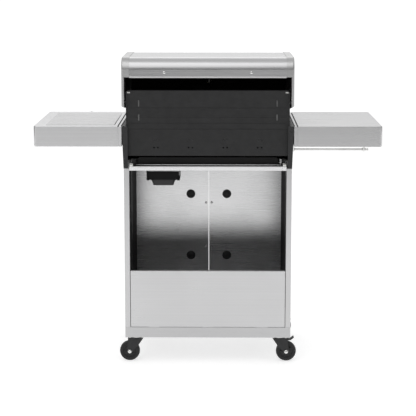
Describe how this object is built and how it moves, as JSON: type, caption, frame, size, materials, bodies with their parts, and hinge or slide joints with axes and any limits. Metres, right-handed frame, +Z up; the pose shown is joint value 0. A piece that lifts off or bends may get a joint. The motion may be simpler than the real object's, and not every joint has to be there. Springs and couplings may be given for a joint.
{
  "type": "gas barbecue grill",
  "caption": "Gas barbecue grill: firebox with knobs under a rounded hinged hood, side shelves, one with a lidded burner, on a two-door cart with swivel casters.",
  "frame": {"origin": "on the floor under the middle of the bounding box", "axes": "+X to the right of a person at the controls, +Y to the back, +Z up"},
  "size_m": [1.26, 0.54, 1.133],
  "materials": {
    "brushed_stainless": "brushed",
    "cast_end": "satin silver paint",
    "black_enamel": "matt enamel",
    "grey_bracket": "satin powder coat",
    "plated_steel": "plated",
    "grate_iron": "matt enamelled casting",
    "caster_metal": "satin black",
    "caster_tread": "moulded",
    "knob_metal": "satin plated",
    "black_plastic": "moulded",
    "dial_face": "printed",
    "lens": "clear",
    "needle_red": "painted"
  },
  "bodies": {
    "cart": {"burner_tubes": "brushed_stainless", "cart_base": "brushed_stainless", "cart_rear_panel": "brushed_stainless", "cart_screws": "plated_steel", "cart_side_left": "brushed_stainless", "cart_side_right": "brushed_stainless", "cart_top_rails": "brushed_stainless", "caster_plates": "caster_metal", "control_panel": "brushed_stainless", "cooking_grate": "grate_iron", "cup_bracket": "black_enamel", "door_fittings": "plated_steel", "firebox_back_panel": "black_enamel", "firebox_end_left": "black_enamel", "firebox_end_right": "black_enamel", "firebox_front_panel": "black_enamel", "flame_tamers": "brushed_stainless", "gas_manifold": "plated_steel", "griddle": "grate_iron", "knob_bezels": "plated_steel", "side_bracket_left": "grey_bracket", "side_bracket_right": "grey_bracket", "side_burner_bowl": "brushed_stainless", "side_burner_grate": "grate_iron", "side_burner_head": "grate_iron", "side_shelf_left": "brushed_stainless", "side_shelf_right": "brushed_stainless", "towel_rail": "black_enamel", "warming_rack": "plated_steel"},
    "hood": {"hood_skin": "brushed_stainless", "hood_end_left": "cast_end", "hood_end_right": "cast_end", "hood_handle": "brushed_stainless", "thermometer_case": "plated_steel"},
    "needle": {"thermometer_needle": "needle_red"},
    "door_left_body": {"door_left": "brushed_stainless", "door_left_liner": "brushed_stainless", "door_left_handle": "brushed_stainless"},
    "door_right_body": {"door_right": "brushed_stainless", "door_right_liner": "brushed_stainless", "door_right_handle": "brushed_stainless"},
    "knob_1_body": {"knob_1": "knob_metal"},
    "knob_2_body": {"knob_2": "knob_metal"},
    "knob_3_body": {"knob_3": "knob_metal"},
    "knob_4_body": {"knob_4": "knob_metal"},
    "knob_side_body": {"knob_side": "knob_metal"},
    "button": {"igniter_button": "black_plastic"},
    "tray": {"drip_tray": "black_enamel"},
    "cup": {"grease_cup": "black_enamel"},
    "burner_lid": {"side_burner_lid": "brushed_stainless"},
    "fork_rear_right": {"caster_fork_rear_right": "caster_metal"},
    "wheel_rear_right": {"caster_wheel_rear_right": "caster_tread"},
    "fork_rear_left": {"caster_fork_rear_left": "caster_metal"},
    "wheel_rear_left": {"caster_wheel_rear_left": "caster_tread"},
    "fork_front_right": {"caster_fork_front_right": "caster_metal"},
    "wheel_front_right": {"caster_wheel_front_right": "caster_tread"},
    "fork_front_left": {"caster_fork_front_left": "caster_metal"},
    "wheel_front_left": {"caster_wheel_front_left": "caster_tread"},
    "brake_rear_left": {"caster_brake_rear_left": "caster_metal"},
    "brake_front_left": {"caster_brake_front_left": "caster_metal"}
  },
  "joints": [
    {"name": "hood_hinge", "type": "hinge", "parent": "cart", "child": "hood", "pos_m": [0, 0.225, 0.975], "axis": [-1, 0, 0], "range_deg": [0, 85]},
    {"name": "needle_turn", "type": "hinge", "parent": "hood", "child": "needle", "pos_m": [0, -0.19471, 1.01235], "axis": [0, 0.9135, -0.4067], "range_deg": [0, 250]},
    {"name": "door_left_hinge", "type": "hinge", "parent": "cart", "child": "door_left_body", "pos_m": [-0.297, -0.172, 0.431], "axis": [0, 0, -1], "range_deg": [0, 110]},
    {"name": "door_right_hinge", "type": "hinge", "parent": "cart", "child": "door_right_body", "pos_m": [0.297, -0.172, 0.431], "axis": [0, 0, 1], "range_deg": [0, 110]},
    {"name": "knob_1_turn", "type": "hinge", "parent": "cart", "child": "knob_1_body", "pos_m": [-0.188, -0.21877, 0.818], "axis": [0, -0.9948, 0.102], "range_deg": [0, 180]},
    {"name": "knob_2_turn", "type": "hinge", "parent": "cart", "child": "knob_2_body", "pos_m": [-0.063, -0.21877, 0.818], "axis": [0, -0.9948, 0.102], "range_deg": [0, 180]},
    {"name": "knob_3_turn", "type": "hinge", "parent": "cart", "child": "knob_3_body", "pos_m": [0.063, -0.21877, 0.818], "axis": [0, -0.9948, 0.102], "range_deg": [0, 180]},
    {"name": "knob_4_turn", "type": "hinge", "parent": "cart", "child": "knob_4_body", "pos_m": [0.188, -0.21877, 0.818], "axis": [0, -0.9948, 0.102], "range_deg": [0, 180]},
    {"name": "knob_side_turn", "type": "hinge", "parent": "cart", "child": "knob_side_body", "pos_m": [0.4635, -0.212, 0.848], "axis": [0, -1, 0], "range_deg": [0, 180]},
    {"name": "igniter_press", "type": "slide", "parent": "cart", "child": "button", "axis": [0, 0.9948, -0.102], "range_m": [0, 0.004], "stiffness_N_per_m": 600},
    {"name": "tray_slide", "type": "slide", "parent": "cart", "child": "tray", "axis": [0, 1, 0], "range_m": [0, 0.38]},
    {"name": "cup_slide", "type": "slide", "parent": "cart", "child": "cup", "axis": [0, 1, 0], "range_m": [0, 0.11]},
    {"name": "burner_lid_hinge", "type": "hinge", "parent": "cart", "child": "burner_lid", "pos_m": [0.4635, 0.229, 0.879], "axis": [-1, 0, 0], "range_deg": [0, 95]},
    {"name": "swivel_rear_right", "type": "hinge", "parent": "cart", "child": "fork_rear_right", "pos_m": [0.266, 0.225, 0.09], "axis": [0, 0, 1], "continuous": true},
    {"name": "spin_rear_right", "type": "hinge", "parent": "fork_rear_right", "child": "wheel_rear_right", "pos_m": [0.291, 0.225, 0.0375], "axis": [0, 1, 0], "continuous": true},
    {"name": "swivel_rear_left", "type": "hinge", "parent": "cart", "child": "fork_rear_left", "pos_m": [-0.266, 0.225, 0.09], "axis": [0, 0, 1], "continuous": true},
    {"name": "spin_rear_left", "type": "hinge", "parent": "fork_rear_left", "child": "wheel_rear_left", "pos_m": [-0.291, 0.225, 0.0375], "axis": [0, 1, 0], "continuous": true},
    {"name": "swivel_front_right", "type": "hinge", "parent": "cart", "child": "fork_front_right", "pos_m": [0.266, -0.141, 0.09], "axis": [0, 0, 1], "continuous": true},
    {"name": "spin_front_right", "type": "hinge", "parent": "fork_front_right", "child": "wheel_front_right", "pos_m": [0.291, -0.141, 0.0375], "axis": [0, 1, 0], "continuous": true},
    {"name": "swivel_front_left", "type": "hinge", "parent": "cart", "child": "fork_front_left", "pos_m": [-0.266, -0.141, 0.09], "axis": [0, 0, 1], "continuous": true},
    {"name": "spin_front_left", "type": "hinge", "parent": "fork_front_left", "child": "wheel_front_left", "pos_m": [-0.291, -0.141, 0.0375], "axis": [0, 1, 0], "continuous": true},
    {"name": "pedal_rear_left", "type": "hinge", "parent": "fork_rear_left", "child": "brake_rear_left", "pos_m": [-0.293, 0.225, 0.0795], "axis": [0, -1, 0], "range_deg": [0, 20]},
    {"name": "pedal_front_left", "type": "hinge", "parent": "fork_front_left", "child": "brake_front_left", "pos_m": [-0.293, -0.141, 0.0795], "axis": [0, -1, 0], "range_deg": [0, 20]}
  ]
}
